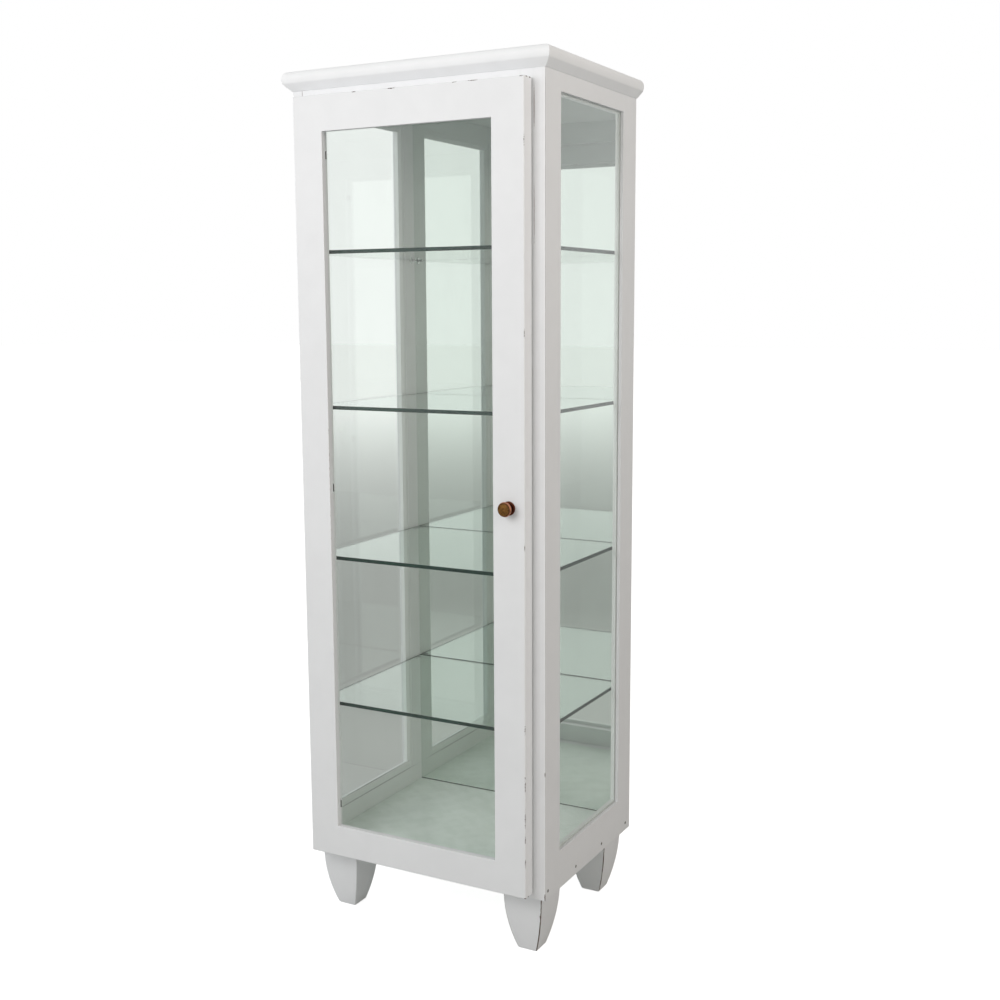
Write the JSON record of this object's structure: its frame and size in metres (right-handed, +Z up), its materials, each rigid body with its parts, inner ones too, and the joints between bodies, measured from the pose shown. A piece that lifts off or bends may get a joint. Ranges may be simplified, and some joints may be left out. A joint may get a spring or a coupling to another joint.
{
  "type": "china cabinet",
  "caption": "Tall painted cabinet on tapered feet with a glazed hinged door, glazed sides, a mirrored back and glass shelves.",
  "frame": {"origin": "on the floor, in the middle of the outline", "axes": "+X right seen from the front, front faces -Y, +Z up"},
  "size_m": [0.6354, 0.514, 1.878],
  "materials": {
    "white_paint": "worn off-white paint on timber",
    "inside_paint": "pale painted board",
    "bare_board": "bare hardboard",
    "bare_wood": "bare wood",
    "clear_glass": "clear, faintly green",
    "shelf_glass": "clear with dark green edges",
    "mirror_glass": "silvered glass",
    "aged_bronze": "antique bronze",
    "bright_metal": "bright plated",
    "dark_metal": "dark clips",
    "dull_brass": "dull brass",
    "steel": "dull steel",
    "catch_plastic": "off-white"
  },
  "bodies": {
    "cabinet": {"back_bead_pins": "steel", "back_beads": "white_paint", "back_bottom_rail": "white_paint", "back_panel": "bare_board", "cabinet_floor": "inside_paint", "catch_body": "catch_plastic", "catch_screws": "steel", "cornice_front": "white_paint", "cornice_left": "white_paint", "cornice_right": "white_paint", "foot_dowels": "bare_wood", "foot_front_left": "white_paint", "foot_front_right": "white_paint", "foot_rear_left": "white_paint", "foot_rear_right": "white_paint", "front_bottom_rail": "white_paint", "front_post_left": "white_paint", "front_post_right": "white_paint", "front_top_rail": "white_paint", "hinge_frame_leaves": "dull_brass", "hinge_frame_screws": "dull_brass", "hinge_pins": "dull_brass", "left_bottom_rail": "white_paint", "left_front_stile": "white_paint", "left_glass": "clear_glass", "left_glass_beads": "white_paint", "left_rear_stile": "white_paint", "left_top_rail": "white_paint", "mirror": "mirror_glass", "right_bottom_rail": "white_paint", "right_front_stile": "white_paint", "right_glass": "clear_glass", "right_glass_beads": "white_paint", "right_rear_stile": "white_paint", "right_top_rail": "white_paint", "shelf_1": "shelf_glass", "shelf_2": "shelf_glass", "shelf_3": "shelf_glass", "shelf_4": "shelf_glass", "shelf_supports": "bright_metal", "side_nails": "steel", "top_board": "white_paint", "top_dowels": "bare_wood"},
    "door": {"catch_strike": "steel", "door_bottom_rail": "white_paint", "door_clip_pins": "steel", "door_glass": "clear_glass", "door_glass_clips": "dark_metal", "door_hinge_stile": "white_paint", "door_knob_stile": "white_paint", "door_top_rail": "white_paint", "hinge_door_leaves": "dull_brass", "hinge_door_screws": "dull_brass", "knob": "aged_bronze", "knob_rosette": "aged_bronze", "knob_screw": "steel", "strike_screws": "steel"}
  },
  "joints": [
    {"name": "door_hinge", "type": "hinge", "parent": "cabinet", "child": "door", "pos_m": [-0.2793, -0.2023, 0.987], "axis": [0, 0, -1], "range_deg": [0, 100]}
  ]
}
